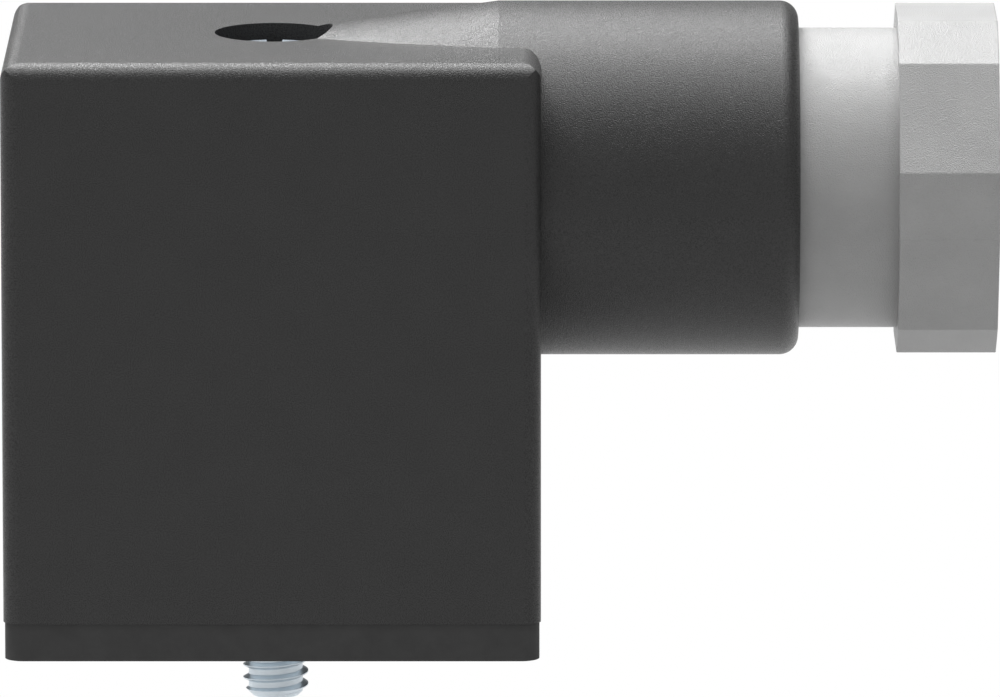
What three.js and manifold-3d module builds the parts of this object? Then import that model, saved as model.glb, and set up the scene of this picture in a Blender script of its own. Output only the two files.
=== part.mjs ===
// Cable plug for a solenoid valve coil: a right-angle rectangular connector of the 11 mm industry form,
// held on the coil by one central screw, with a compression cable gland on a round barrel.
// Millimetres, +Z up, +X along the cable. The origin is on the fixing screw's axis, on the sealing plane.
import * as THREE from "three";
import { mergeVertices } from "three/addons/utils/BufferGeometryUtils.js";
import Module from "manifold-3d";

const wasm = await Module();
wasm.setup();

// ---------- driving dimensions ----------
const BODY = {
  length: 28.5, depth: 22, top: 32, bottom: 2, edge: 1, wall: 1.6, ceiling: 29.4, cavityCorner: 0.6,
};
const BARREL = { axisZ: 24.15, radius: 9.45, end: 28, coneStart: 12, coneSlope: 0.137, coneInner: -2 };
const GLAND_BORE = { radius: 8.15, shoulder: 14.1, chamfer: 0.5, throat: 5.8 };
const BOSS = { radius: 4.7, bottom: 24.6, recessRadius: 3.15, recessFloor: 28.2, boreRadius: 2 };

const SCREW = {
  tip: -4, tipChamfer: 0.5, threadRadius: 1.75, threadTop: 9, shankRadius: 1.45,
  headBottom: 29.2, headTop: 31.2, headRadius: 2.75, headChamfer: 0.25, slotWidth: 0.85, slotDepth: 1.1,
};
const SEAL_RING = { bottom: 28.25, top: 29.15, inner: 1.6, outer: 3 };
const RETAINER = { bottom: 19.4, top: 20.2, inner: 1.55, outer: 3.2 };

const GASKET = { inset: 0.08, top: 1.95, windowX: 10.9, windowY: 8.2, windowCorner: 1.8 };
const GROOVE = { middleX: 12.5, middleY: 9.55, width: 0.9, depth: 0.5 };

const CARRIER = {
  halfX: 12.4, halfY: 9.15, corner: 0.6, bottom: 2.1, deck: 9.9, top: 16.6,
  islandX: 10.6, islandY: 7.9, islandCorner: 1.5, islandBottom: 0.35,
  boreRadius: 2.15, towerRadius: 3.7, towerTop: 17.4, cheek: 1.2,
};
const POCKET = { halfWidth: 3.1, inner: -2.6, slotHalfX: 3, slotHalfY: 1.25, floor: 2.6 };
const BLADE_SLOT = { halfX: 3.35, halfY: 0.65 };
const LINE_X = 4.6; // middle of the two line blades along X
const LINE_Y = 5.5; // half of the spacing between the line blades
const EARTH_X = -8.6; // plane of the earth blade

const CAGE = {
  halfX: 2.8, inner: -2.3, outer: 1.1, bottom: 10.7, top: 15.4,
  holeHalfX: 1.8, holeInner: -1.8, holeOuter: 0.3,
};
const LEAF = {
  halfX: 2.5, bottom: 3.2, pinch: 4.8, straight: 6.2, fork: 9.2, barBottom: 9.95, barTop: 10.5,
  tabTop: 15.2, tabHalfX: 1.7, tabThickness: 0.4, tabGap: 0.05,
};
const TERMINAL = {
  z: 13.05, shankRadius: 1.2, holeRadius: 1.35, tip: 0.3, headInner: 2.4, headOuter: 3.5,
  headRadius: 2.2, slotWidth: 0.6, slotDepth: 0.6, edge: 0.2,
};
const CLAMP = { halfX: 1.5, inner: -0.15, outer: 0.25, halfZ: 1.6 };

const GLAND = {
  innerEnd: 22.6, headStart: 33.2, end: 38.5, skirtRadius: 8, skirtChamfer: 0.6,
  cornerRadius: 9.47, cornerHalfAngle: 10.9, bore: 5.25, mouth: 6.3, mouthDepth: 1.2,
};
// The gland is built as delivered, with its screw loose: the thrust washer stands 1.5 mm clear of the seal.
const STACK = {
  outer: 7.9, washerInner: 5.5, sealInner: 4.2, sealTaper: 0.9,
  backWasher: [14.2, 14.9], seal: [14.95, 20], thrustWasher: [21.5, 22.5],
};

const ARC_STEPS = 6;
const ROUND = 48;
const SMALL_ROUND = 28;
const PAST = 1; // how far a cutter runs past the face it opens

// ---------- materials ----------
const standard = (color, roughness, metalness) =>
  new THREE.MeshStandardMaterial({ color, roughness, metalness });
const blackPlastic = standard(0x2c2c2d, 0.55, 0);
const carrierPlastic = standard(0x242425, 0.5, 0);
const greyPlastic = standard(0xb9babb, 0.45, 0);
const rubber = standard(0x1c1c1d, 0.8, 0);
const zincSteel = standard(0xb8c4cc, 0.3, 1);
const tinnedBrass = standard(0xcfc9b4, 0.35, 1);

// ---------- solids from three.js geometry ----------
// A closed geometry as a manifold-3d solid whose faces point out.
function solid(geometry) {
  const bare = geometry.clone();
  bare.deleteAttribute("normal");
  bare.deleteAttribute("uv");
  const merged = mergeVertices(bare, 1e-4);
  const corners = [];
  for (let i = 0; i < merged.index.count; i += 3) {
    const [a, b, c] = [0, 1, 2].map((k) => merged.index.getX(i + k));
    if (a !== b && b !== c && a !== c) corners.push([a, b, c]);
  }
  const build = (triangles) =>
    new wasm.Manifold(
      new wasm.Mesh({
        numProp: 3,
        vertProperties: new Float32Array(merged.attributes.position.array),
        triVerts: new Uint32Array(triangles.flat()),
      }),
    );
  const made = build(corners);
  return made.volume() < 0 ? build(corners.map(([a, b, c]) => [a, c, b])) : made;
}

const union = (first, ...rest) => rest.reduce((sum, next) => sum.add(next), first);
const cut = (first, ...rest) => rest.reduce((left, next) => left.subtract(next), first);

// Turns geometry made along local Z to run along the named axis, with the other two axes in cyclic order.
const X = new THREE.Vector3(1, 0, 0);
const Y = new THREE.Vector3(0, 1, 0);
const Z = new THREE.Vector3(0, 0, 1);
const BASIS = {
  z: new THREE.Matrix4(),
  x: new THREE.Matrix4().makeBasis(Y, Z, X),
  y: new THREE.Matrix4().makeBasis(Z, X, Y),
};

// A prism from a shape: along z the shape holds (x, y), along x it holds (y, z), along y it holds (z, x).
function prism(shape, axis, from, to) {
  const settings = { depth: to - from, bevelEnabled: false, curveSegments: ARC_STEPS };
  const geometry = new THREE.ExtrudeGeometry(shape, settings);
  return solid(geometry.translate(0, 0, from).applyMatrix4(BASIS[axis]));
}

function box([x0, x1], [y0, y1], [z0, z1]) {
  const geometry = new THREE.BoxGeometry(x1 - x0, y1 - y0, z1 - z0);
  return solid(geometry.translate((x0 + x1) / 2, (y0 + y1) / 2, (z0 + z1) / 2));
}

// A solid of revolution from [radius, distance along the axis] points, closed on the axis or on itself.
function turned(points, axis, segments = ROUND) {
  const outline = points.map(([radius, along]) => new THREE.Vector2(radius, along));
  const geometry = new THREE.LatheGeometry(outline, segments).rotateX(Math.PI / 2);
  return solid(geometry.applyMatrix4(BASIS[axis]));
}

const cylinder = (radius, axis, from, to, segments = ROUND) =>
  turned([[0, from], [radius, from], [radius, to], [0, to]], axis, segments);

const ring = (inner, outer, axis, from, to, segments = ROUND) =>
  turned([[inner, from], [outer, from], [outer, to], [inner, to], [inner, from]], axis, segments);

// A rectangle with rounded corners, in the plane of a shape.
function roundedRectangle(x0, x1, y0, y1, r) {
  const shape = new THREE.Shape();
  shape.moveTo(x0 + r, y0);
  shape.lineTo(x1 - r, y0);
  shape.absarc(x1 - r, y0 + r, r, -Math.PI / 2, 0);
  shape.lineTo(x1, y1 - r);
  shape.absarc(x1 - r, y1 - r, r, 0, Math.PI / 2);
  shape.lineTo(x0 + r, y1);
  shape.absarc(x0 + r, y1 - r, r, Math.PI / 2, Math.PI);
  shape.lineTo(x0, y0 + r);
  shape.absarc(x0 + r, y0 + r, r, Math.PI, Math.PI * 1.5);
  return shape;
}

const roundedBlock = (halfX, halfY, r, z0, z1) =>
  prism(roundedRectangle(-halfX, halfX, -halfY, halfY, r), "z", z0, z1);

const group = new THREE.Group();

// Adds a solid to a group as one named mesh.
function piece(name, made, material, parent = group) {
  const { vertProperties, numProp, numVert, triVerts } = made.getMesh();
  const position = new Float32Array(numVert * 3);
  for (let i = 0; i < numVert; i++) {
    position.set(vertProperties.subarray(i * numProp, i * numProp + 3), i * 3);
  }
  const geometry = new THREE.BufferGeometry()
    .setAttribute("position", new THREE.BufferAttribute(position, 3))
    .setIndex(new THREE.BufferAttribute(triVerts, 1));
  geometry.computeVertexNormals();
  const mesh = new THREE.Mesh(geometry, material);
  mesh.name = name;
  parent.add(mesh);
  return mesh;
}

// ---------- moulded cover with its barrel ----------
// The block's outside is where three rounded prisms meet, so its corners are mitred and not spherical.
function housing() {
  const halfX = BODY.length / 2;
  const halfY = BODY.depth / 2;
  const plan = roundedBlock(halfX, halfY, BODY.edge, BODY.bottom, BODY.top);
  const below = BODY.bottom - 3 * BODY.edge;
  const side = prism(roundedRectangle(-halfY, halfY, below, BODY.top, BODY.edge), "x", -halfX, halfX);
  const front = prism(roundedRectangle(below, BODY.top, -halfX, halfX, BODY.edge), "y", -halfY, halfY);
  const block = plan.intersect(side).intersect(front);

  const coneRadius = BARREL.radius - (BARREL.coneStart - BARREL.coneInner) * BARREL.coneSlope;
  const rim = [];
  for (let i = 0; i <= ARC_STEPS; i++) {
    const angle = (i / ARC_STEPS) * (Math.PI / 2);
    rim.push([
      BARREL.radius - BODY.edge * (1 - Math.cos(angle)),
      BARREL.end - BODY.edge * (1 - Math.sin(angle)),
    ]);
  }
  const barrelProfile = [
    [0, BARREL.coneInner],
    [coneRadius, BARREL.coneInner],
    [BARREL.radius, BARREL.coneStart],
    ...rim,
    [0, BARREL.end],
  ];
  const barrel = turned(barrelProfile, "x", 2 * ROUND).translate([0, 0, BARREL.axisZ]);

  const cavity = roundedBlock(
    halfX - BODY.wall, halfY - BODY.wall, BODY.cavityCorner, BODY.bottom - PAST, BODY.ceiling,
  );
  const boss = cylinder(BOSS.radius, "z", BOSS.bottom, BODY.top - BODY.edge);
  const recess = cylinder(BOSS.recessRadius, "z", BOSS.recessFloor, BARREL.axisZ + BARREL.radius + PAST);
  const screwBore = cylinder(BOSS.boreRadius, "z", BOSS.bottom - PAST, BOSS.recessFloor + PAST);
  const mouth = GLAND_BORE.radius + GLAND_BORE.chamfer;
  const boreProfile = [
    [0, GLAND_BORE.shoulder],
    [GLAND_BORE.radius, GLAND_BORE.shoulder],
    [GLAND_BORE.radius, BARREL.end - GLAND_BORE.chamfer],
    [mouth, BARREL.end],
    [mouth, BARREL.end + PAST],
    [0, BARREL.end + PAST],
  ];
  const glandBore = turned(boreProfile, "x", 2 * ROUND).translate([0, 0, BARREL.axisZ]);
  const throatStart = halfX - BODY.wall - PAST;
  const throat = cylinder(GLAND_BORE.throat, "x", throatStart, GLAND_BORE.shoulder + PAST);

  const shell = union(cut(union(block, barrel), cavity), boss);
  return cut(shell, recess, screwBore, glandBore, throat.translate([0, 0, BARREL.axisZ]));
}

// ---------- flat profile gasket, with one sealing groove underneath ----------
function profileGasket() {
  const halfX = BODY.length / 2 - GASKET.inset;
  const halfY = BODY.depth / 2 - GASKET.inset;
  const plate = roundedBlock(halfX, halfY, BODY.edge, 0, GASKET.top);
  const window = roundedBlock(GASKET.windowX, GASKET.windowY, GASKET.windowCorner, -PAST, GASKET.top + PAST);
  const half = GROOVE.width / 2;
  const groove = cut(
    roundedBlock(GROOVE.middleX + half, GROOVE.middleY + half, BODY.edge + half, -PAST, GROOVE.depth),
    roundedBlock(GROOVE.middleX - half, GROOVE.middleY - half, BODY.edge, -2 * PAST, GROOVE.depth + PAST),
  );
  return cut(plate, window, groove);
}

// ---------- the three terminals, each made in its own frame ----------
// Local origin: the blade's middle plane, at the sealing plane. Local X is the blade's width, and local +Y
// points out of the plug, where the terminal screw's head is.
const TERMINALS = [
  { tag: "1", contact: "line_contact_1", at: [LINE_X, -LINE_Y], turn: Math.PI },
  { tag: "2", contact: "line_contact_2", at: [LINE_X, LINE_Y], turn: 0 },
  { tag: "earth", contact: "earth_contact", at: [EARTH_X, 0], turn: Math.PI / 2 },
];

// A cutter or wall made in a terminal's frame, moved to where the terminal sits in the plug.
const placed = (made, { at, turn }) =>
  made.rotate([0, 0, THREE.MathUtils.radToDeg(turn)]).translate([at[0], at[1], 0]);

// ---------- contact carrier ----------
// A deck with a tower round the screw and a walled pocket for each terminal, on an island with blade slots.
function contactCarrier() {
  const { halfX, halfY, corner, bottom, deck, top, islandX, islandY, islandCorner, islandBottom } = CARRIER;
  const base = union(
    roundedBlock(halfX, halfY, corner, bottom, deck),
    roundedBlock(islandX, islandY, islandCorner, islandBottom, bottom + PAST),
    cylinder(CARRIER.towerRadius, "z", bottom, CARRIER.towerTop),
  );
  const outline = roundedBlock(halfX, halfY, corner, bottom, top);
  const wall = POCKET.halfWidth + CARRIER.cheek;
  const wallBox = () => box([-wall, wall], [POCKET.inner - CARRIER.cheek, halfX], [deck - PAST, top]);
  const pocketBox = () =>
    box([-POCKET.halfWidth, POCKET.halfWidth], [POCKET.inner, halfX], [deck, CARRIER.towerTop + PAST]);
  const contactSlot = () =>
    box(
      [-POCKET.slotHalfX, POCKET.slotHalfX],
      [-POCKET.slotHalfY, POCKET.slotHalfY],
      [POCKET.floor, deck + PAST],
    );
  const bladeSlot = () =>
    box(
      [-BLADE_SLOT.halfX, BLADE_SLOT.halfX],
      [-BLADE_SLOT.halfY, BLADE_SLOT.halfY],
      [islandBottom - PAST, POCKET.floor + PAST],
    );
  const walls = TERMINALS.map((terminal) => placed(wallBox(), terminal).intersect(outline));
  const hollows = TERMINALS.flatMap((terminal) =>
    [pocketBox(), contactSlot(), bladeSlot()].map((made) => placed(made, terminal)),
  );
  const bore = cylinder(CARRIER.boreRadius, "z", islandBottom - PAST, CARRIER.towerTop + PAST);
  return cut(union(base, ...walls), ...hollows, bore);
}

// A tulip contact: two spring leaves that grip the coil's blade, and a tab that stands in the clamp cage.
function bladeContact() {
  const { halfX, bottom, pinch, straight, fork, barBottom, barTop, tabTop, tabHalfX } = LEAF;
  const tabBack = CAGE.holeInner + LEAF.tabGap;
  const tabFront = tabBack + LEAF.tabThickness;
  const outline = [
    [-0.9, bottom], [-0.45, bottom], [-0.25, pinch], [-0.4, straight], [-0.4, fork],
    [0.4, fork], [0.4, straight], [0.25, pinch], [0.45, bottom], [0.9, bottom],
    [0.7, pinch], [0.85, straight], [0.85, barTop], [tabFront, barTop], [tabFront, tabTop],
    [tabBack, tabTop], [tabBack, barBottom], [-0.85, barBottom], [-0.85, straight], [-0.7, pinch],
  ];
  const shape = new THREE.Shape(outline.map(([y, z]) => new THREE.Vector2(y, z)));
  const strip = prism(shape, "x", -halfX, halfX);
  const beside = [tabBack - PAST, tabFront + PAST];
  const above = [barTop, tabTop + PAST];
  const left = box([-halfX - PAST, -tabHalfX], beside, above);
  const right = box([tabHalfX, halfX + PAST], beside, above);
  return cut(strip, left, right);
}

function terminalCage() {
  const block = box([-CAGE.halfX, CAGE.halfX], [CAGE.inner, CAGE.outer], [CAGE.bottom, CAGE.top]);
  const wireHole = box(
    [-CAGE.holeHalfX, CAGE.holeHalfX],
    [CAGE.holeInner, CAGE.holeOuter],
    [CAGE.bottom - PAST, CAGE.top + PAST],
  );
  const screwHole = cylinder(TERMINAL.holeRadius, "y", 0, CAGE.outer + PAST, SMALL_ROUND);
  return cut(block, wireHole, screwHole.translate([0, 0, TERMINAL.z]));
}

function terminalScrew() {
  const { tip, shankRadius, headInner, headOuter, headRadius, edge } = TERMINAL;
  const profile = [
    [0, tip],
    [shankRadius - edge, tip],
    [shankRadius, tip + edge],
    [shankRadius, headInner],
    [headRadius, headInner],
    [headRadius, headOuter - edge],
    [headRadius - edge, headOuter],
    [0, headOuter],
  ];
  const slot = box(
    [-headRadius - PAST, headRadius + PAST],
    [headOuter - TERMINAL.slotDepth, headOuter + PAST],
    [-TERMINAL.slotWidth / 2, TERMINAL.slotWidth / 2],
  );
  return cut(turned(profile, "y", SMALL_ROUND), slot).translate([0, 0, TERMINAL.z]);
}

function clampPlate() {
  const height = [TERMINAL.z - CLAMP.halfZ, TERMINAL.z + CLAMP.halfZ];
  return box([-CLAMP.halfX, CLAMP.halfX], [CLAMP.inner, CLAMP.outer], height);
}

function addTerminal({ tag, contact, at, turn }) {
  const frame = new THREE.Group();
  frame.position.set(at[0], at[1], 0);
  frame.rotation.z = turn;
  group.add(frame);
  piece(contact, bladeContact(), tinnedBrass, frame);
  piece("terminal_cage_" + tag, terminalCage(), tinnedBrass, frame);
  piece("clamp_plate_" + tag, clampPlate(), zincSteel, frame);
  piece("terminal_screw_" + tag, terminalScrew(), zincSteel, frame);
}

// ---------- central fixing screw, its seal ring and the ring that keeps it captive ----------
function fixingScrew() {
  const { tip, tipChamfer, threadRadius, threadTop, shankRadius, headBottom, headTop, headRadius } = SCREW;
  const profile = [
    [0, tip],
    [threadRadius - tipChamfer, tip],
    [threadRadius, tip + tipChamfer],
    [threadRadius, threadTop],
    [shankRadius, threadTop + threadRadius - shankRadius],
    [shankRadius, headBottom],
    [headRadius, headBottom],
    [headRadius, headTop - SCREW.headChamfer],
    [headRadius - SCREW.headChamfer, headTop],
    [0, headTop],
  ];
  const slot = box(
    [-SCREW.slotWidth / 2, SCREW.slotWidth / 2],
    [-headRadius - PAST, headRadius + PAST],
    [headTop - SCREW.slotDepth, headTop + PAST],
  );
  return cut(turned(profile, "z", SMALL_ROUND), slot);
}

// A flat ring round the screw, given as one of the ring tables at the top.
const screwRing = ({ inner, outer, bottom, top }) => ring(inner, outer, "z", bottom, top, SMALL_ROUND);

// ---------- compression gland ----------
// The head is a hexagon whose six corners are cut back to narrow flats.
function glandScrew() {
  const { innerEnd, headStart, end, skirtRadius, skirtChamfer, cornerRadius, cornerHalfAngle } = GLAND;
  const corners = [];
  for (let corner = 0; corner < 6; corner++) {
    for (const side of [-1, 1]) {
      const angle = THREE.MathUtils.degToRad(corner * 60 + side * cornerHalfAngle);
      corners.push(new THREE.Vector2(cornerRadius * Math.cos(angle), cornerRadius * Math.sin(angle)));
    }
  }
  const head = prism(new THREE.Shape(corners), "x", headStart, end);
  const skirtProfile = [
    [0, innerEnd],
    [skirtRadius - skirtChamfer, innerEnd],
    [skirtRadius, innerEnd + skirtChamfer],
    [skirtRadius, headStart + PAST],
    [0, headStart + PAST],
  ];
  const boreProfile = [
    [0, innerEnd - PAST],
    [GLAND.bore, innerEnd - PAST],
    [GLAND.bore, end - GLAND.mouthDepth],
    [GLAND.mouth, end],
    [GLAND.mouth, end + PAST],
    [0, end + PAST],
  ];
  const body = union(head, turned(skirtProfile, "x", 2 * ROUND));
  return cut(body, turned(boreProfile, "x")).translate([0, 0, BARREL.axisZ]);
}

// The rubber seal's two ends taper in to its bore, so that it closes on the cable when it is pressed.
function glandSeal() {
  const { outer, sealInner, sealTaper, seal } = STACK;
  const [from, to] = seal;
  const profile = [
    [sealInner + sealTaper, from],
    [outer, from],
    [outer, to],
    [sealInner + sealTaper, to],
    [sealInner, to - sealTaper],
    [sealInner, from + sealTaper],
    [sealInner + sealTaper, from],
  ];
  return turned(profile, "x").translate([0, 0, BARREL.axisZ]);
}

function stackWasher([from, to]) {
  return ring(STACK.washerInner, STACK.outer, "x", from, to).translate([0, 0, BARREL.axisZ]);
}

// ---------- the assembly ----------
piece("housing", housing(), blackPlastic);
piece("profile_gasket", profileGasket(), rubber);
piece("contact_carrier", contactCarrier(), carrierPlastic);
TERMINALS.forEach(addTerminal);
piece("fixing_screw", fixingScrew(), zincSteel);
piece("screw_seal_ring", screwRing(SEAL_RING), rubber);
piece("screw_retaining_ring", screwRing(RETAINER), zincSteel);
piece("gland_screw", glandScrew(), greyPlastic);
piece("gland_thrust_washer", stackWasher(STACK.thrustWasher), zincSteel);
piece("gland_seal", glandSeal(), rubber);
piece("gland_back_washer", stackWasher(STACK.backWasher), zincSteel);

export default group;
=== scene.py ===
"""The looks of a solenoid valve's cable plug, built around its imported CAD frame.

Shapes are modelled in millimetres, in the CAD's frame, and are scaled to metres when each one is finished.
"""

import math

import bmesh
import bpy
from mathutils import Matrix, Vector

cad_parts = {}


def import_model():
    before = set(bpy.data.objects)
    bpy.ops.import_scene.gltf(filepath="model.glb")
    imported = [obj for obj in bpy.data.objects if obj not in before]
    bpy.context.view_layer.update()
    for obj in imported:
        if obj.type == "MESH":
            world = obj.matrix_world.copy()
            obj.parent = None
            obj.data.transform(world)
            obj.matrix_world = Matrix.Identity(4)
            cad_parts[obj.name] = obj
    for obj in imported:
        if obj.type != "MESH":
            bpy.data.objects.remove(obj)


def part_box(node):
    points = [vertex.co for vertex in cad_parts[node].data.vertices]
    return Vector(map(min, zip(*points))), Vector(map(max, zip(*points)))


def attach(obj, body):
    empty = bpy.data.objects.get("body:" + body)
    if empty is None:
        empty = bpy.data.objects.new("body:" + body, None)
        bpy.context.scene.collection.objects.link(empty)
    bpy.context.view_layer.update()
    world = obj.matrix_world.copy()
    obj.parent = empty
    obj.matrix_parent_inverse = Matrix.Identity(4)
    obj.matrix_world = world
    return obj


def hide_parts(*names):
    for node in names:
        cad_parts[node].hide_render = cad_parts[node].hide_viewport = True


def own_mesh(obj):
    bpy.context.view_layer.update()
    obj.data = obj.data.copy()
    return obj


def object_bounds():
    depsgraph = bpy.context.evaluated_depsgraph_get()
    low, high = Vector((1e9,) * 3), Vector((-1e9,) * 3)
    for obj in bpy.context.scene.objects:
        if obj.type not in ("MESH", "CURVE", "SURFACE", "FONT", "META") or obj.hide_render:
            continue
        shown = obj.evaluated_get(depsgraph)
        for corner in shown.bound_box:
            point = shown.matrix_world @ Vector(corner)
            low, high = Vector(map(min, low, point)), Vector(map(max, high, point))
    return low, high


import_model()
cad_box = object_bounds()

# ---------- camera, floor and sizes that the frame doesn't give ----------
MM = 0.001

CAMERA_DISTANCE = 768.5
CAMERA_PITCH = math.radians(10.337)
CAMERA_LENS = 516.8
CAMERA_SHIFT = (-0.0311, -0.0025)
CAMERA_TARGET = (13.724, 0, 14.992)
SENSOR_WIDTH = 36
CLIPPING = (0.01, 20)  # in metres

WORLD_LIGHT = (0.26, 0.54)  # the soft light's strength away from and towards its bright side
BRIGHT_SIDE = (-0.8, -0.6, 0)
KEY_LIGHT = {"elevation": 105, "left": 5, "distance": 900, "width": 1000, "height": 1300, "radiance": 4.2}
BACK_LIGHT = {"elevation": 133, "left": 20, "distance": 850, "width": 200, "height": 340, "radiance": 23}
LIT_POINT = (10, 0, 20)
FLOOR_TONE = 0.37
FLOOR_DROP = 40  # how far the floor lies below the screw's tip
FLOOR_REACH = 3000

EDGE = 1  # rounding of the cover's outer edges
EDGE_STEPS = 16
BODY_TOP = 32
WALL = 1.6
CEILING = 29.4
BARREL_SEGMENTS = 256
FINE_SEGMENTS = 192
SEGMENTS = 96
BEVEL_SEGMENTS = 2
PAST = 1  # how far a cutter runs past the face it opens

# The angles in degrees above which an edge stays sharp in the shading.
SHARP = 5
SHARP_SCREW = 25
SHARP_RING = 30
SHARP_SMALL = 35


def corners_mm(node):
    """The lowest and highest corner of a CAD node at rest, in millimetres."""
    low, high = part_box(node)
    return low / MM, high / MM


# ---------- mesh tools ----------
def mesh_object(name, points, faces):
    mesh = bpy.data.meshes.new(name)
    mesh.from_pydata(points, [], faces)
    obj = bpy.data.objects.new(name, mesh)
    bpy.context.scene.collection.objects.link(obj)
    return obj


def along(axis, a, b, height):
    """A point given in the plane across an axis and along it, with the three in cyclic order."""
    return {"z": (a, b, height), "x": (height, a, b), "y": (b, height, a)}[axis]


def arc(centre, radius, start, end, steps):
    """Points of an arc in a plane, from one angle to another in degrees, ends included."""
    angles = [math.radians(start + (end - start) * i / steps) for i in range(steps + 1)]
    return [(centre[0] + radius * math.cos(a), centre[1] + radius * math.sin(a)) for a in angles]


STRAIGHT = math.radians(89)  # half the angle at a point from which on it counts as no corner


def rounded(points, radius, steps=4, closed=True):
    """An outline with each corner replaced by an arc. An open outline keeps its two ends."""
    count = len(points)
    made = []
    for i, here in enumerate(points):
        p = Vector(here)
        before = Vector(points[i - 1]) - p
        after = Vector(points[(i + 1) % count]) - p
        end_point = not closed and i in (0, count - 1)
        half = math.pi / 2 if end_point else before.angle(after) / 2
        if half > STRAIGHT:
            made.append(tuple(here))
            continue
        reach = min(radius / math.tan(half), 0.49 * before.length, 0.49 * after.length)
        centre = p + (before.normalized() + after.normalized()).normalized() * reach / math.cos(half)
        start = p + before.normalized() * reach - centre
        end = p + after.normalized() * reach - centre
        sweep = math.pi - 2 * half
        for k in range(steps + 1):
            t = k / steps
            turned = (start * math.sin((1 - t) * sweep) + end * math.sin(t * sweep)) / math.sin(sweep)
            made.append(tuple(centre + turned))
    return made


def prism(name, outline, axis, low, high):
    """A prism over an anticlockwise outline."""
    count = len(outline)
    points = [along(axis, a, b, height) for height in (low, high) for a, b in outline]
    faces = [tuple(range(count - 1, -1, -1)), tuple(range(count, 2 * count))]
    faces += [(i, (i + 1) % count, count + (i + 1) % count, count + i) for i in range(count)]
    return mesh_object(name, points, faces)


def rectangle(x0, x1, y0, y1):
    return [(x0, y0), (x1, y0), (x1, y1), (x0, y1)]


def box(name, low, high):
    return prism(name, rectangle(low[0], high[0], low[1], high[1]), "z", low[2], high[2])


def lathe(name, profile, axis="z", centre=(0, 0), segments=SEGMENTS):
    """A solid of revolution over an anticlockwise profile, radius first: a loop, or from axis to axis."""
    closed = profile[0] == profile[-1]
    profile = profile[:-1] if closed else profile
    points, rings = [], []
    for radius, height in profile:
        if radius == 0:
            rings.append([len(points)] * segments)
            points.append(along(axis, centre[0], centre[1], height))
            continue
        rings.append(list(range(len(points), len(points) + segments)))
        for i in range(segments):
            angle = 2 * math.pi * i / segments
            a = centre[0] + radius * math.cos(angle)
            b = centre[1] + radius * math.sin(angle)
            points.append(along(axis, a, b, height))
    faces = []
    for k in range(len(rings) if closed else len(rings) - 1):
        lower, upper = rings[k], rings[(k + 1) % len(rings)]
        for i in range(segments):
            j = (i + 1) % segments
            face = (lower[i], lower[j], upper[j], upper[i])
            faces.append(tuple(dict.fromkeys(face)))
    return mesh_object(name, points, faces)


def rod(name, radius, low, high, axis="z", centre=(0, 0), segments=SEGMENTS):
    return lathe(name, [(0, low), (radius, low), (radius, high), (0, high)], axis, centre, segments)


def applied(obj):
    """The object with its modifiers made part of its mesh."""
    evaluated = obj.evaluated_get(bpy.context.evaluated_depsgraph_get())
    mesh = bpy.data.meshes.new_from_object(evaluated)
    obj.modifiers.clear()
    old = obj.data
    obj.data = mesh
    bpy.data.meshes.remove(old)
    return obj


def combined(operation, first, *others):
    """The first solid joined with, cut by or kept inside the others, which are used up."""
    for other in others:
        modifier = first.modifiers.new("combine", "BOOLEAN")
        modifier.operation = operation
        modifier.solver = "EXACT"
        modifier.object = other
        applied(first)
        bpy.data.objects.remove(other)
    return first


def joined(first, *others):
    return combined("UNION", first, *others)


def cut(first, *others):
    return combined("DIFFERENCE", first, *others)


def kept_inside(first, *others):
    return combined("INTERSECT", first, *others)


def bevelled(obj, width, angle=30):
    """The solid with its edges rounded where they turn by more than an angle in degrees."""
    modifier = obj.modifiers.new("bevel", "BEVEL")
    modifier.width = width
    modifier.segments = BEVEL_SEGMENTS
    modifier.limit_method = "ANGLE"
    modifier.angle_limit = math.radians(angle)
    modifier.use_clamp_overlap = True
    return applied(obj)


def dress(obj, body, material, node, sharp=SHARP):
    """Shade a piece smooth where it is round, scale it to metres, give it its material and body, and hide the
    CAD node it stands in for.
    """
    mesh = obj.data
    mesh.polygons.foreach_set("use_smooth", [True] * len(mesh.polygons))
    mesh.set_sharp_from_angle(angle=math.radians(sharp))
    modifier = obj.modifiers.new("normals", "WEIGHTED_NORMAL")
    modifier.keep_sharp = True
    applied(obj)
    obj.data.transform(Matrix.Scale(MM, 4))
    obj.data.materials.clear()
    obj.data.materials.append(material)
    obj.data.name = obj.name
    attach(obj, body)
    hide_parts(node)


HALF_FLANK_ANGLE = math.radians(30)


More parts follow.
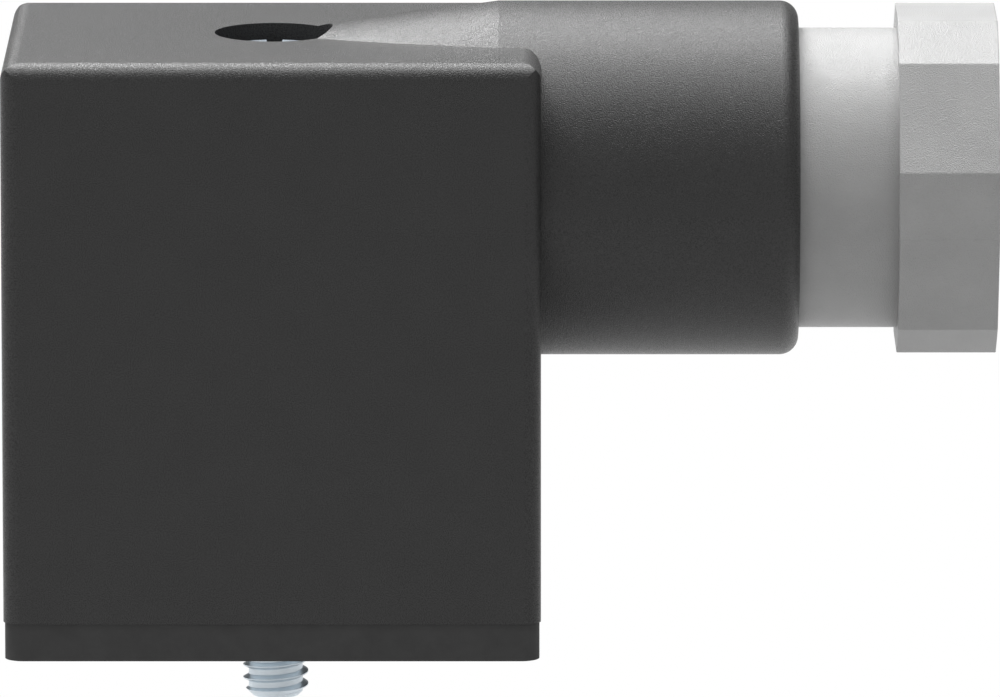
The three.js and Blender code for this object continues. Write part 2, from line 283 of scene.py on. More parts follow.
def thread(name, size, low, high, axis="z", centre=(0, 0), around=64, phase=0):
    """A right-hand threaded rod between two heights, bevelled at the lower one.

    Around is the number of steps in a turn, and phase is how far the thread is moved down, in pitches.
    """
    root, crest, pitch, bevel = size["root"], size["crest"], size["pitch"], size["bevel"]
    crest_flat = pitch / 12
    flank_run = (crest - root) * math.tan(HALF_FLANK_ANGLE)
    root_flat = pitch - crest_flat - 2 * flank_run
    ridge = [
        (root, 0),
        (root, root_flat),
        (crest, root_flat + flank_run),
        (crest, root_flat + flank_run + crest_flat),
    ]
    turns = math.ceil((high - low) / pitch) + 3
    bottom = low - (1.5 + phase) * pitch
    columns = turns * around + 1
    width = len(ridge)
    points = []
    for i in range(columns):
        angle = 2 * math.pi * i / around
        for radius, rise in ridge:
            a = centre[0] + radius * math.cos(angle)
            b = centre[1] + radius * math.sin(angle)
            points.append(along(axis, a, b, bottom + pitch * i / around + rise))
    for i in range(columns - around, columns):  # the last turn's upper edge
        angle = 2 * math.pi * i / around
        a = centre[0] + root * math.cos(angle)
        b = centre[1] + root * math.sin(angle)
        points.append(along(axis, a, b, bottom + pitch * i / around + pitch))

    def vertex(i, k):
        """The number of ridge point k in column i; the point after the last is the next turn's first."""
        if k < width:
            return i * width + k
        if i + around < columns:
            return (i + around) * width
        return columns * width + i - (columns - around)

    faces = []
    for i in range(columns - 1):
        for k in range(width):
            faces.append((vertex(i, k), vertex(i + 1, k), vertex(i + 1, k + 1), vertex(i, k + 1)))
    base = len(points)
    points.append(along(axis, centre[0], centre[1], bottom - pitch))
    points.append(along(axis, centre[0], centre[1], bottom + pitch * (turns + 1)))
    for i in range(around):
        faces.append((base, vertex(i + 1, 0), vertex(i, 0)))
    faces.append((base, *[vertex(0, k) for k in range(width + 1)]))
    last = columns - 1
    for i in range(last - around, last):
        faces.append((base + 1, vertex(i, width), vertex(i + 1, width)))
    faces.append((base + 1, *[vertex(last, k) for k in range(width, -1, -1)]))
    outside = crest + PAST
    envelope = [(0, low), (crest - bevel, low), (outside, low + bevel + PAST), (outside, high), (0, high)]
    return kept_inside(mesh_object(name, points, faces), lathe("envelope", envelope, axis, centre))


# ---------- materials ----------
def new_material(name, colour, roughness, metallic=0.0, specular=0.5):
    """A principled material, its node tree, its shader and a texture coordinate in millimetres."""
    material = bpy.data.materials.new(name)
    material.use_nodes = True
    tree = material.node_tree
    shader = tree.nodes["Principled BSDF"]
    shader.inputs["Base Color"].default_value = (*colour, 1)
    shader.inputs["Roughness"].default_value = roughness
    shader.inputs["Metallic"].default_value = metallic
    shader.inputs["Specular IOR Level"].default_value = specular
    place = tree.nodes.new("ShaderNodeTexCoord")
    scale = tree.nodes.new("ShaderNodeMapping")
    scale.inputs["Scale"].default_value = (1 / MM, 1 / MM, 1 / MM)
    tree.links.new(place.outputs["Object"], scale.inputs["Vector"])
    return material, tree, shader, scale.outputs["Vector"]


def noise(tree, vector, scale, detail, roughness=0.5):
    node = tree.nodes.new("ShaderNodeTexNoise")
    node.inputs["Scale"].default_value = scale
    node.inputs["Detail"].default_value = detail
    node.inputs["Roughness"].default_value = roughness
    tree.links.new(vector, node.inputs["Vector"])
    return node.outputs["Fac"]


def between(tree, value, low, high):
    """A value from 0 to 1 mapped to a range."""
    node = tree.nodes.new("ShaderNodeMapRange")
    node.inputs["To Min"].default_value = low
    node.inputs["To Max"].default_value = high
    tree.links.new(value, node.inputs["Value"])
    return node.outputs["Result"]


def mottled(tree, shader, value, dark, light):
    """The base colour varied between two colours."""
    ramp = tree.nodes.new("ShaderNodeValToRGB")
    ramp.color_ramp.elements[0].position = 0.3
    ramp.color_ramp.elements[1].position = 0.7
    ramp.color_ramp.elements[0].color = (*dark, 1)
    ramp.color_ramp.elements[1].color = (*light, 1)
    tree.links.new(value, ramp.inputs["Fac"])
    tree.links.new(ramp.outputs["Color"], shader.inputs["Base Color"])


def bumped(tree, shader, value, depth):
    """A bump of the given depth in millimetres."""
    node = tree.nodes.new("ShaderNodeBump")
    node.inputs["Distance"].default_value = depth * MM
    tree.links.new(value, node.inputs["Height"])
    tree.links.new(node.outputs["Normal"], shader.inputs["Normal"])


def shade(grey):
    return (grey, grey, grey)


GRAIN_SCALE = 18  # grains per millimetre


def moulded_plastic(name, grey, roughness, grain, specular=0.5):
    """Moulded polyamide: a fine spark-eroded grain, shinier on its high spots, and a slow change of tone."""
    material, tree, shader, place = new_material(name, shade(grey), roughness, specular=specular)
    cloud = noise(tree, place, 0.35, 3)
    mottled(tree, shader, cloud, shade(grey * 0.95), shade(grey * 1.05))
    fine = noise(tree, place, GRAIN_SCALE, 1)
    tree.links.new(between(tree, fine, roughness - 0.05, roughness + 0.05), shader.inputs["Roughness"])
    tree.links.new(between(tree, fine, 0.1 * specular, 2 * specular), shader.inputs["Specular IOR Level"])
    bumped(tree, shader, fine, grain)
    return material


def moulded_rubber(name, grey):
    """Nitrile rubber: dull, with a dusty bloom and a soft uneven skin."""
    material, tree, shader, place = new_material(name, shade(grey), 0.6, specular=0.3)
    bloom = noise(tree, place, 0.9, 5, 0.65)
    mottled(tree, shader, bloom, shade(grey * 0.9), shade(grey * 1.12))
    skin = noise(tree, place, 4, 3, 0.6)
    tree.links.new(between(tree, skin, 0.54, 0.68), shader.inputs["Roughness"])
    bumped(tree, shader, skin, 0.01)
    return material


MACHINING_LAY = (1, 1, 12)  # how much closer the machining lines lie in each direction


def plated_metal(name, colour, roughness):
    """Plated metal with fine machining lines that run around it, and a slight haze."""
    material, tree, shader, place = new_material(name, colour, roughness, metallic=1.0)
    haze = noise(tree, place, 0.8, 4, 0.6)
    dark = tuple(0.93 * c for c in colour)
    light = tuple(1.04 * c for c in colour)
    mottled(tree, shader, haze, dark, light)
    stretch = tree.nodes.new("ShaderNodeMapping")
    stretch.inputs["Scale"].default_value = MACHINING_LAY
    tree.links.new(place, stretch.inputs["Vector"])
    lines = noise(tree, stretch.outputs["Vector"], 2.5, 3, 0.6)
    tree.links.new(between(tree, lines, roughness - 0.07, roughness + 0.08), shader.inputs["Roughness"])
    bumped(tree, shader, lines, 0.003)
    return material


def mixed(tree, kind, factor, low, high):
    """A socket that a factor from 0 to 1 turns from the linked low value to the plain high value."""
    node = tree.nodes.new("ShaderNodeMix")
    node.data_type = kind
    a, b = [socket for socket in node.inputs if socket.name in "AB" and socket.enabled]
    result = next(socket for socket in node.outputs if socket.enabled)
    b.default_value = high
    tree.links.new(factor, node.inputs["Factor"])
    tree.links.new(low, a)
    return result


def painted_shade_above(material, height, colour, roughness):
    """Plated metal that is darker and duller above a height in millimetres: the darker colour there is
    painted shade that holds down the highlight on the screw head's top, and the higher roughness dulls it.
    """
    tree = material.node_tree
    shader = tree.nodes["Principled BSDF"]
    parts = tree.nodes.new("ShaderNodeSeparateXYZ")
    tree.links.new(tree.nodes["Mapping"].outputs["Vector"], parts.inputs["Vector"])
    above = tree.nodes.new("ShaderNodeMath")
    above.operation = "GREATER_THAN"
    above.inputs[1].default_value = height
    tree.links.new(parts.outputs["Z"], above.inputs[0])
    for name, kind, value in (("Base Color", "RGBA", (*colour, 1)), ("Roughness", "FLOAT", roughness)):
        socket = shader.inputs[name]
        before = socket.links[0].from_socket
        tree.links.new(mixed(tree, kind, above.outputs["Value"], before, value), socket)
    return material


BLACK = moulded_plastic("black_plastic", 0.03, 0.28, 0.03, specular=0.47)
CARRIER_BLACK = moulded_plastic("carrier_plastic", 0.02, 0.38, 0.03)
GREY = moulded_plastic("grey_plastic", 0.385, 0.3, 0.045)
RUBBER = moulded_rubber("gasket_rubber", 0.05)
ZINC_COLOUR = (0.8, 0.88, 0.94)
ZINC_ROUGHNESS = 0.36
# Painted shade: the fixing screw head's top gets a darker zinc colour to hold down its highlight under the
# overhead light.
PAINTED_SHADE_ZINC_COLOUR = (0.24, 0.27, 0.3)
SHADED_HEAD_ROUGHNESS = 0.6
PAINTED_SHADE_FROM = 29.25  # a height just inside the fixing screw's head
ZINC = plated_metal("zinc_steel", ZINC_COLOUR, ZINC_ROUGHNESS)
FIXING_ZINC = painted_shade_above(
    plated_metal("fixing_screw_zinc", ZINC_COLOUR, ZINC_ROUGHNESS),
    PAINTED_SHADE_FROM,
    PAINTED_SHADE_ZINC_COLOUR,
    SHADED_HEAD_ROUGHNESS,
)
TINNED = plated_metal("contact_brass", (0.74, 0.72, 0.62), 0.3)
BRASS = plated_metal("cage_brass", (0.72, 0.52, 0.24), 0.28)


# ---------- cover ----------
def consistent(obj):
    """The closed mesh with its faces all pointing out."""
    mesh = bmesh.new()
    mesh.from_mesh(obj.data)
    bmesh.ops.recalc_face_normals(mesh, faces=mesh.faces)
    mesh.to_mesh(obj.data)
    mesh.free()
    return obj


def mitred_block(name, half_x, half_y, low, high, radius, steps):
    """A block whose top edges and upright corners have one radius, and meet in mitres instead of balls."""
    angles = [math.pi / 2 * i / steps for i in range(steps + 1)]
    quarter = [(radius * math.cos(a), radius * math.sin(a)) for a in angles]
    inner_x, inner_y, inner_z = half_x - radius, half_y - radius, high - radius
    points, numbers, faces = [], {}, []

    def vertex(x, y, z):
        key = (round(x, 5), round(y, 5), round(z, 5))
        if key not in numbers:
            numbers[key] = len(points)
            points.append((x, y, z))
        return numbers[key]

    def strip(rows):
        for (a, b), (c, d) in zip(rows, rows[1:]):
            faces.append((vertex(*a), vertex(*b), vertex(*d), vertex(*c)))

    for sx in (1, -1):
        for sy in (1, -1):
            uprights = [(sx * (inner_x + c), sy * (inner_y + d), min(c, d)) for c, d in quarter]
            strip([((x, y, low), (x, y, inner_z + rise)) for x, y, rise in uprights])
    for s in (1, -1):
        ends = [(s * (inner_y + c), inner_z + d, inner_x + min(c, d)) for c, d in quarter]
        strip([((-x, y, z), (x, y, z)) for y, z, x in ends])
        ends = [(s * (inner_x + c), inner_z + d, inner_y + min(c, d)) for c, d in quarter]
        strip([((x, -y, z), (x, y, z)) for x, z, y in ends])
    for s in (1, -1):
        across = ((-1, low), (1, low), (1, inner_z), (-1, inner_z))
        faces.append(tuple(vertex(k * inner_x, s * half_y, z) for k, z in across))
        faces.append(tuple(vertex(s * half_x, k * inner_y, z) for k, z in across))
    around = ((1, 1), (-1, 1), (-1, -1), (1, -1))
    faces.append(tuple(vertex(sx * inner_x, sy * inner_y, high) for sx, sy in around))
    underside = []
    for sx, sy in around:
        for c, d in quarter if sx == sy else reversed(quarter):
            underside.append(vertex(sx * (inner_x + c), sy * (inner_y + d), low))
    faces.append(tuple(underside))
    return consistent(mesh_object(name, points, faces))


CAVITY_CORNER = 0.6
BOSS_RADIUS = 4.7
BOSS_BOTTOM = 24.6
BOSS_TOP = 31  # inside the ceiling
RECESS_RADIUS = 3.15
RECESS_FLOOR = 28.2
SCREW_BORE = 2
CONE_START = 12
CONE_SLOPE = 0.137
CONE_INNER = -2
GLAND_BORE = 8.15
GLAND_SHOULDER = 14.1
GLAND_THROAT = 5.8
GLAND_LIP = 0.5  # chamfer at the mouth of the gland's bore

cover_low, cover_high = corners_mm("housing")
washer_low, washer_high = corners_mm("gland_thrust_washer")
AXIS = (0, (washer_low.z + washer_high.z) / 2)  # the gland's axis, across X
HALF_X = -cover_low.x
HALF_Y = cover_high.y
BARREL_END = cover_high.x
BARREL_RADIUS = cover_high.z - AXIS[1]


def cover():
    block = mitred_block("cover", HALF_X, HALF_Y, cover_low.z, BODY_TOP, EDGE, EDGE_STEPS)
    cone_radius = BARREL_RADIUS - (CONE_START - CONE_INNER) * CONE_SLOPE
    rim = arc((BARREL_RADIUS - EDGE, BARREL_END - EDGE), EDGE, 0, 90, EDGE_STEPS)
    profile = [(0, CONE_INNER), (cone_radius, CONE_INNER), (BARREL_RADIUS, CONE_START), *rim, (0, BARREL_END)]
    barrel = lathe("barrel", profile, "x", AXIS, BARREL_SEGMENTS)

    inner_x, inner_y = HALF_X - WALL, HALF_Y - WALL
    inside = rounded(rectangle(-inner_x, inner_x, -inner_y, inner_y), CAVITY_CORNER)
    cavity = prism("cavity", inside, "z", cover_low.z - PAST, CEILING)
    boss = rod("boss", BOSS_RADIUS, BOSS_BOTTOM, BOSS_TOP)
    recess = rod("recess", RECESS_RADIUS, RECESS_FLOOR, cover_high.z + PAST, segments=FINE_SEGMENTS)
    bore = rod("bore", SCREW_BORE, BOSS_BOTTOM - PAST, RECESS_FLOOR + PAST)
    mouth = [
        (0, GLAND_SHOULDER),
        (GLAND_BORE, GLAND_SHOULDER),
        (GLAND_BORE, BARREL_END - GLAND_LIP),
        (GLAND_BORE + GLAND_LIP, BARREL_END),
        (GLAND_BORE + GLAND_LIP, BARREL_END + PAST),
        (0, BARREL_END + PAST),
    ]
    gland_bore = lathe("gland_bore", mouth, "x", AXIS, BARREL_SEGMENTS)
    throat = rod("throat", GLAND_THROAT, HALF_X - WALL - PAST, GLAND_SHOULDER + PAST, "x", AXIS)

    shell = joined(cut(joined(block, barrel), cavity), boss)
    cut(shell, recess, bore, gland_bore, throat)
    dress(shell, "cover", BLACK, "housing")


cover()


# ---------- gasket ----------
WINDOW = (10.9, 8.2, 1.8)  # half its length, half its width and its corners
GROOVE_MIDDLE = (12.5, 9.55)
GROOVE_WIDTH = 0.9
GROOVE_DEPTH = 0.275
GASKET_GAP = 0.004  # under the cover, to keep the two faces apart
GASKET_EDGE = 0.02


def gasket():
    low, high = corners_mm("profile_gasket")
    outline = rounded(rectangle(low.x, high.x, low.y, high.y), EDGE, EDGE_STEPS)
    plate = prism("gasket", outline, "z", low.z, cover_low.z - GASKET_GAP)
    x, y, corner = WINDOW
    window = prism("window", rounded(rectangle(-x, x, -y, y), corner, 8), "z", low.z - PAST, high.z + PAST)
    x, y = GROOVE_MIDDLE
    outlines = []
    for side in (GROOVE_WIDTH / 2, -GROOVE_WIDTH / 2):
        a, b = x + side, y + side
        outlines.append(rounded(rectangle(-a, a, -b, b), EDGE + side, 8))
    outer = prism("groove", outlines[0], "z", low.z - PAST, low.z + GROOVE_DEPTH)
    inner = prism("groove_core", outlines[1], "z", low.z - 2 * PAST, low.z + PAST)
    cut(plate, window, cut(outer, inner))
    dress(bevelled(plate, GASKET_EDGE), "carrier", RUBBER, "profile_gasket")


gasket()


# ---------- fixing screw ----------
FIXING_THREAD = {"root": 1.45, "crest": 1.75, "pitch": 0.7, "top": 9, "phase": 0.385, "bevel": 0.5}
FIXING_SHANK = 1.43  # a little thinner than the thread's root
FIXING_SHANK_START = 8.4  # inside the thread
FIXING_HEAD_BOTTOM = 29.2
FIXING_CORNER = 0.2
FIXING_SLOT = (0.85, 1.1)  # width and depth


def fixing_screw():
    low, high = corners_mm("fixing_screw")
    size = FIXING_THREAD
    screw = thread("fixing_screw_made", size, low.z, size["top"], phase=size["phase"])
    head_radius = (high.x - low.x) / 2
    profile = [
        (0, FIXING_SHANK_START),
        (FIXING_SHANK, FIXING_SHANK_START),
        (FIXING_SHANK, FIXING_HEAD_BOTTOM),
        (head_radius, FIXING_HEAD_BOTTOM),
        (head_radius, high.z),
        (0, high.z),
    ]
    upper = lathe("upper", rounded(profile, FIXING_CORNER, closed=False))
    width, depth = FIXING_SLOT
    reach = head_radius + PAST
    slot = box("slot", (-width / 2, -reach, high.z - depth), (width / 2, reach, high.z + PAST))
    joined(screw, cut(upper, slot))
    dress(screw, "fixing", FIXING_ZINC, "fixing_screw", SHARP_SCREW)


fixing_screw()


def ring_around(name, node, inner, body, material, corner, axis="z", segments=SEGMENTS):
    """A flat ring with rounded edges in the place of a CAD ring, given its hole's radius and its corners'."""
    low, high = corners_mm(node)
    centre = AXIS if axis == "x" else (0, 0)
    start, end = (low.x, high.x) if axis == "x" else (low.z, high.z)
    outer = (high.y - low.y) / 2
    profile = rounded([(inner, start), (outer, start), (outer, end), (inner, end)], corner)
    made = lathe(name, [*profile, profile[0]], axis, centre, segments)
    dress(made, body, material, node, SHARP_RING)


ring_around("screw_seal", "screw_seal_ring", 1.6, "fixing_seal", RUBBER, 0.35)
ring_around("screw_retainer", "screw_retaining_ring", 1.55, "fixing", ZINC, 0.15)


# ---------- gland ----------
HEAD_START = 33.2
HEAD_CORNER = 9.47
HEAD_CORNER_HALF_ANGLE = 10.9
HEAD_EDGE = 0.05
SHANK_RADIUS = 8
SHANK_END = 34  # inside the head
SHANK_START = 27.6  # where the gland screw's thread ends
SHANK_UNDERCUT = (7, 0.8)  # radius and length of the cone that leads to the thread
GLAND_THREAD = {"root": 7.2, "crest": 7.95, "pitch": 1.5, "bevel": 0.6}
CABLE_BORE = 5.25
CABLE_MOUTH = 6.3
MOUTH_DEPTH = 1.2
WASHER_BORE = 5.5
WASHER_CORNER = 0.12


def gland():
    low, high = corners_mm("gland_screw")
    angles = [math.radians(60 * i + side * HEAD_CORNER_HALF_ANGLE) for i in range(6) for side in (-1, 1)]
    outline = [(AXIS[0] + HEAD_CORNER * math.cos(a), AXIS[1] + HEAD_CORNER * math.sin(a)) for a in angles]
    head = bevelled(prism("gland", outline, "x", HEAD_START, high.x), HEAD_EDGE, angle=10)
    inner, step = SHANK_UNDERCUT
    profile = [
        (0, SHANK_START - step),
        (inner, SHANK_START - step),
        (SHANK_RADIUS, SHANK_START),
        (SHANK_RADIUS, SHANK_END),
        (0, SHANK_END),
    ]
    shank = lathe("shank", profile, "x", AXIS, BARREL_SEGMENTS)
    threaded = thread("threaded", GLAND_THREAD, low.x, SHANK_START - step / 2, "x", AXIS)
    profile = [
        (0, low.x - PAST),
        (CABLE_BORE, low.x - PAST),
        (CABLE_BORE, high.x - MOUTH_DEPTH),
        (CABLE_MOUTH, high.x),
        (CABLE_MOUTH, high.x + PAST),
        (0, high.x + PAST),
    ]
    bore = lathe("bore", profile, "x", AXIS, FINE_SEGMENTS)
    dress(cut(joined(head, shank, threaded), bore), "gland", GREY, "gland_screw")


gland()
for name, body in (("thrust_washer", "gland_washer"), ("back_washer", "cover")):
    node = "gland_" + name
    ring_around(name, node, WASHER_BORE, body, ZINC, WASHER_CORNER, "x", FINE_SEGMENTS)

SEAL_INNER = 4.2
SEAL_TAPER = 0.9
SEAL_WAIST = 0.3  # how far the seal's middle is sunk
SEAL_CORNER = 0.2


def gland_seal():
    low, high = corners_mm("gland_seal")
    outer = (high.y - low.y) / 2
    start, end = low.x, high.x
    third = (end - start) / 3
    profile = [
        (SEAL_INNER + SEAL_TAPER, start),
        (outer, start),
        (outer, start + third),
        (outer - SEAL_WAIST, start + 1.15 * third),
        (outer - SEAL_WAIST, end - 1.15 * third),
        (outer, end - third),
        (outer, end),
        (SEAL_INNER + SEAL_TAPER, end),
        (SEAL_INNER, end - SEAL_TAPER),
        (SEAL_INNER, start + SEAL_TAPER),
    ]
    profile = rounded(profile, SEAL_CORNER)
    made = lathe("gland_seal_ring", [*profile, profile[0]], "x", AXIS, FINE_SEGMENTS)
    dress(made, "cover", RUBBER, "gland_seal", SHARP_RING)
    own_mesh(made)


gland_seal()


# ---------- the three terminals, each made in its own frame ----------
# In a terminal's frame X runs across the blade, and +Y points out of the plug, where the screw's head is.
LINE_X = 4.6
LINE_Y = 5.5
EARTH_X = -8.6
TERMINALS = (
    ("1", "line_contact_1", (LINE_X, -LINE_Y), 180),
    ("2", "line_contact_2", (LINE_X, LINE_Y), 0),
    ("earth", "earth_contact", (EARTH_X, 0), 90),
)

CAGE_SIZE = (2.8, -2.3, 1.1, 0.4)  # half its width, its inner side, its outer side and its corners
CAGE_HOLE = (1.8, -1.8, 0.3, 0.25)
CAGE_EDGE = 0.07
SCREW_HOLE = 1.35
SCREW_HOLE_CHAMFER = 0.2
LEAF = {
    "half_x": 2.5, "bottom": 3.2, "pinch": 4.8, "straight": 6.2, "fork": 9.2, "bar": (9.95, 10.5),
    "tab": (-1.75, -1.35), "tab_top": 15.2, "tab_half_x": 1.7, "slit": 0.22, "slit_end": 8,
    "corner": 0.16, "edge": 0.05,
}
PLATE_HALF_X = 1.5
PLATE_FACES = (-0.15, 0.25)
PLATE_GROOVES = 3
PLATE_GROOVE = 0.1  # depth, and half the width
PLATE_EDGE = 0.06
TERMINAL_THREAD = {"root": 0.98, "crest": 1.2, "pitch": 0.45, "tip": 0.3, "top": 2.6, "bevel": 0.2}
TERMINAL_HEAD = (2.2, 2.4, 3.5)  # radius, inner side and outer side
TERMINAL_HEAD_CORNER = 0.22
TERMINAL_SLOT = 0.6  # width and depth


def put(obj, place, turn):
    """Something made in a terminal's frame, moved to where the terminal is."""
    obj.data.transform(Matrix.Translation((*place, 0)) @ Matrix.Rotation(math.radians(turn), 4, "Z"))
    return obj


def contact(name):
    """Two spring leaves that grip a blade, each slit in two, and a tab that stands in the clamp cage."""
    size = LEAF
    bottom, pinch, straight, fork = size["bottom"], size["pinch"], size["straight"], size["fork"]
    bar_bottom, bar_top = size["bar"]
    back, front = size["tab"]
    outline = [
        (-0.9, bottom), (-0.45, bottom), (-0.25, pinch), (-0.4, straight), (-0.4, fork),
        (0.4, fork), (0.4, straight), (0.25, pinch), (0.45, bottom), (0.9, bottom),
        (0.7, pinch), (0.85, straight), (0.85, bar_top), (front, bar_top), (front, size["tab_top"]),
        (back, size["tab_top"]), (back, bar_bottom), (-0.85, bar_bottom), (-0.85, straight), (-0.7, pinch),
    ]
    half = size["half_x"]
    strip = prism(name, rounded(outline, size["corner"], 3), "x", -half, half)
    inner, outer = size["tab_half_x"], half + PAST
    for low, high in ((-outer, -inner), (inner, outer)):
        cut(strip, box("side", (low, back - PAST, bar_top), (high, front + PAST, size["tab_top"] + PAST)))
    slit = size["slit"]
    cut(strip, box("slit", (-slit, -PAST, bottom - PAST), (slit, PAST, size["slit_end"])))
    return bevelled(strip, size["edge"], angle=40)


def cage(name, bottom, top):
    """A square brass sleeve with rounded corners, bored on one side for the terminal screw."""
    half, inner, outer, corner = CAGE_SIZE
    sleeve = prism(name, rounded(rectangle(-half, half, inner, outer), corner, 6), "z", bottom, top)
    start, end = outer - SCREW_HOLE_CHAMFER / 2, outer + SCREW_HOLE_CHAMFER / 2
    half, inner, outer, corner = CAGE_HOLE
    hole_plan = rounded(rectangle(-half, half, inner, outer), corner)
    cut(sleeve, prism("hole", hole_plan, "z", bottom - PAST, top + PAST))
    profile = [(0, 0), (SCREW_HOLE, 0), (SCREW_HOLE, start), (SCREW_HOLE + SCREW_HOLE_CHAMFER, end), (0, end)]
    cut(sleeve, lathe("bore", profile, "y", ((bottom + top) / 2, 0), 48))
    return bevelled(sleeve, CAGE_EDGE, angle=40)


def clamp_plate(name, bottom, top):
    """The plate that the terminal screw presses on the wire, with grooves across its face."""
    half, (inner, outer) = PLATE_HALF_X, PLATE_FACES
    plate = box(name, (-half, inner, bottom), (half, outer, top))
    reach = half + PAST
    for i in range(PLATE_GROOVES):
        z = bottom + (top - bottom) * (i + 1) / (PLATE_GROOVES + 1)
        outline = rectangle(z - PLATE_GROOVE, z + PLATE_GROOVE, -reach, reach)
        cut(plate, prism("groove", outline, "y", inner - PAST, inner + PLATE_GROOVE))
    return bevelled(plate, PLATE_EDGE, angle=40)


def terminal_screw(name, height):
    radius, bottom, top = TERMINAL_HEAD
    centre = (height, 0)
    size = TERMINAL_THREAD
    screw = thread(name, size, size["tip"], size["top"], "y", centre, around=40)
    profile = [(0, bottom), (radius, bottom), (radius, top), (0, top)]
    head = lathe("head", rounded(profile, TERMINAL_HEAD_CORNER, 5, closed=False), "y", centre, 64)
    reach, half = radius + PAST, TERMINAL_SLOT / 2
    slot = box("slot", (-reach, top - TERMINAL_SLOT, height - half), (reach, top + PAST, height + half))
    return joined(screw, cut(head, slot))


def terminal(tag, contact_node, place, turn):
    cage_node, plate_node, screw_node = "terminal_cage_" + tag, "clamp_plate_" + tag, "terminal_screw_" + tag
    cage_low, cage_high = corners_mm(cage_node)
    plate_low, plate_high = corners_mm(plate_node)
    height = (cage_low.z + cage_high.z) / 2
    made = put(contact("contact_" + tag), place, turn)
    dress(made, "carrier", TINNED, contact_node, SHARP_SMALL)
    made = put(cage("cage_" + tag, cage_low.z, cage_high.z), place, turn)
    dress(made, "carrier", BRASS, cage_node, SHARP_SMALL)
    made = put(clamp_plate("plate_" + tag, plate_low.z, plate_high.z), place, turn)
    dress(made, "clamp_" + tag, ZINC, plate_node, SHARP_SMALL)
    made = put(terminal_screw("terminal_screw_made_" + tag, height), place, turn)
    dress(made, "clamp_screw_" + tag, ZINC, screw_node, SHARP_SMALL)


for tag, contact_node, place, turn in TERMINALS:
    terminal(tag, contact_node, place, turn)


# ---------- contact carrier ----------
CARRIER = {
    "bottom": 2.1, "deck": 9.9, "top": 16.6, "corner": 0.6, "island": (10.6, 7.9, 1.5),
    "bore": 2.15, "tower": 3.7, "cheek": 1.2, "edge": 0.15,
}
POCKET = {"half_width": 3.1, "inner": -2.6, "slot": (3, 1.25), "floor": 2.6}
BLADE_SLOT = (3.35, 0.65)


def carrier():
    low, high = corners_mm("contact_carrier")
    half_x, half_y = high.x, high.y
    bottom, deck, top = CARRIER["bottom"], CARRIER["deck"], CARRIER["top"]
    plan = rounded(rectangle(-half_x, half_x, -half_y, half_y), CARRIER["corner"], 6)
    body = prism("carrier", plan, "z", bottom, deck)
    x, y, corner = CARRIER["island"]
    island = prism("island", rounded(rectangle(-x, x, -y, y), corner, 8), "z", low.z, bottom + PAST)
    joined(body, island, rod("tower", CARRIER["tower"], bottom, high.z))
    inner, half, floor_height = POCKET["inner"], POCKET["half_width"], POCKET["floor"]
    cheek = CARRIER["cheek"]
    wall = half + cheek
    for _, _, place, turn in TERMINALS:
        block = put(box("wall", (-wall, inner - cheek, deck - PAST), (wall, half_x, top)), place, turn)
        joined(body, kept_inside(block, prism("outline", plan, "z", bottom, top + PAST)))
    slot_x, slot_y = POCKET["slot"]
    blade_x, blade_y = BLADE_SLOT
    for _, _, place, turn in TERMINALS:
        hollows = [
            box("pocket", (-half, inner, deck), (half, half_x, high.z + PAST)),
            box("slot", (-slot_x, -slot_y, floor_height), (slot_x, slot_y, deck + PAST)),
            box("blade", (-blade_x, -blade_y, low.z - PAST), (blade_x, blade_y, floor_height + PAST)),
        ]
        cut(body, *[put(hollow, place, turn) for hollow in hollows])
    cut(body, rod("bore", CARRIER["bore"], low.z - PAST, high.z + PAST))
    made = bevelled(body, CARRIER["edge"], angle=50)
    dress(made, "carrier", CARRIER_BLACK, "contact_carrier", SHARP_SMALL)


carrier()


# ---------- camera, floor and lights ----------
def camera():
    data = bpy.data.cameras.new("camera")
    data.lens = CAMERA_LENS
    data.sensor_width = SENSOR_WIDTH
    data.shift_x, data.shift_y = CAMERA_SHIFT
    data.clip_start, data.clip_end = CLIPPING
    obj = bpy.data.objects.new("camera", data)
    bpy.context.scene.collection.objects.link(obj)
    target = Vector(CAMERA_TARGET)
    back = Vector((0, -math.cos(CAMERA_PITCH), math.sin(CAMERA_PITCH)))
    obj.location = (target + CAMERA_DISTANCE * back) * MM
    obj.rotation_euler = (math.pi / 2 - CAMERA_PITCH, 0, 0)
    bpy.context.scene.camera = obj


def show(tree, output, seen, unseen):
    """Give a node tree an output of one shader to the camera, and of another to every other ray."""
    path = tree.nodes.new("ShaderNodeLightPath")
    mix = tree.nodes.new("ShaderNodeMixShader")
    out = tree.nodes.new(output)
    tree.links.new(path.outputs["Is Camera Ray"], mix.inputs["Fac"])
    tree.links.new(unseen, mix.inputs[1])
    tree.links.new(seen, mix.inputs[2])
    tree.links.new(mix.outputs["Shader"], out.inputs["Surface"])


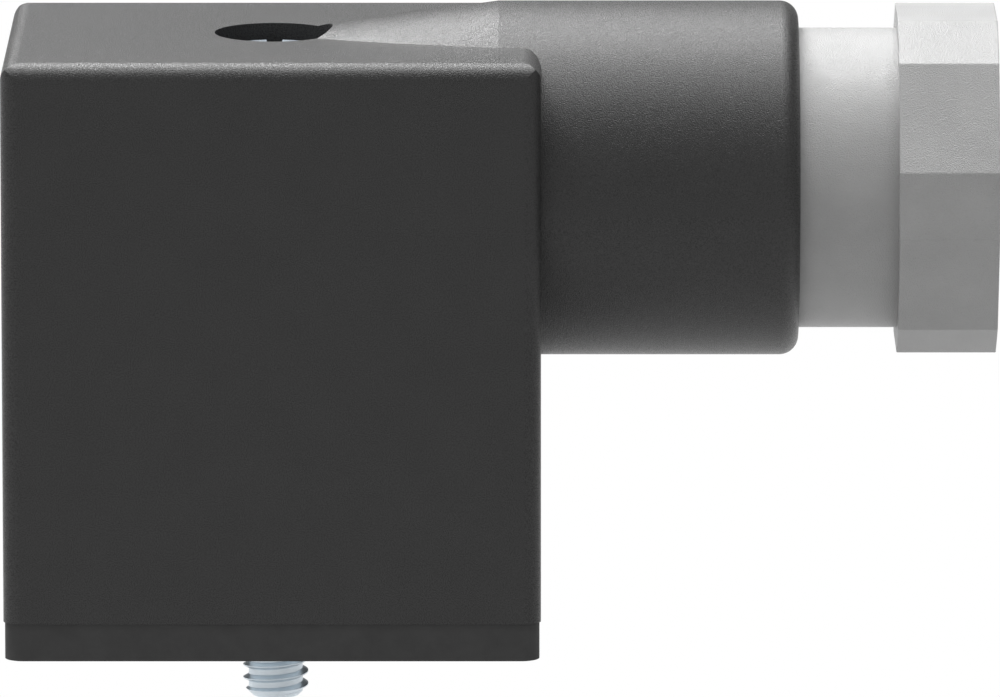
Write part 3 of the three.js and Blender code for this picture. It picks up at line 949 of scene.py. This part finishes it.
def world():
    """White to the camera, and a soft light that is stronger from the front left than from the back right."""
    made = bpy.data.worlds.new("world")
    bpy.context.scene.world = made
    made.use_nodes = True
    tree = made.node_tree
    tree.nodes.clear()
    seen = tree.nodes.new("ShaderNodeBackground")
    seen.inputs["Color"].default_value = (1, 1, 1, 1)
    lighting = tree.nodes.new("ShaderNodeBackground")
    lighting.inputs["Color"].default_value = (1, 1, 1, 1)
    place = tree.nodes.new("ShaderNodeTexCoord")
    towards = tree.nodes.new("ShaderNodeVectorMath")
    towards.operation = "DOT_PRODUCT"
    towards.inputs[1].default_value = BRIGHT_SIDE
    strength = tree.nodes.new("ShaderNodeMapRange")
    strength.inputs["From Min"].default_value = -1
    strength.inputs["To Min"].default_value, strength.inputs["To Max"].default_value = WORLD_LIGHT
    tree.links.new(place.outputs["Generated"], towards.inputs[0])
    tree.links.new(towards.outputs["Value"], strength.inputs["Value"])
    tree.links.new(strength.outputs["Result"], lighting.inputs["Strength"])
    show(tree, "ShaderNodeOutputWorld", seen.outputs["Background"], lighting.outputs["Background"])


def floor():
    """A level floor that the camera sees as white paper, and that throws some light back on the object."""
    height = cad_box[0][2] / MM - FLOOR_DROP
    corners = rectangle(-FLOOR_REACH, FLOOR_REACH, -FLOOR_REACH, FLOOR_REACH)
    obj = mesh_object("floor", [(x, y, height) for x, y in corners], [(0, 1, 2, 3)])
    obj.data.transform(Matrix.Scale(MM, 4))
    material = bpy.data.materials.new("floor")
    material.use_nodes = True
    tree = material.node_tree
    tree.nodes.clear()
    seen = tree.nodes.new("ShaderNodeEmission")
    lit = tree.nodes.new("ShaderNodeBsdfDiffuse")
    lit.inputs["Color"].default_value = (FLOOR_TONE, FLOOR_TONE, FLOOR_TONE, 1)
    show(tree, "ShaderNodeOutputMaterial", seen.outputs["Emission"], lit.outputs["BSDF"])
    obj.data.materials.append(material)


def heading(elevation, left):
    """A direction by its elevation and its turn to the left, in degrees.

    The elevation is 0 at the camera's side, 90 at the top and 180 at the back.
    """
    up, side = math.radians(elevation), math.radians(left)
    return Vector((-math.sin(side), -math.cos(side) * math.cos(up), math.cos(side) * math.sin(up)))


def softbox(name, light):
    """A rectangular light that faces the lit point, given how bright its face is."""
    data = bpy.data.lights.new(name, "AREA")
    data.shape = "RECTANGLE"
    data.size = light["width"] * MM
    data.size_y = light["height"] * MM
    data.energy = light["radiance"] * math.pi * data.size * data.size_y
    obj = bpy.data.objects.new(name, data)
    bpy.context.scene.collection.objects.link(obj)
    towards = heading(light["elevation"], light["left"])
    obj.location = (Vector(LIT_POINT) + towards * light["distance"]) * MM
    obj.rotation_euler = (-towards).to_track_quat("-Z", "Y").to_euler()


camera()
world()
floor()
softbox("key", KEY_LIGHT)
softbox("back_left", BACK_LIGHT)

bpy.context.scene.view_settings.view_transform = "Standard"
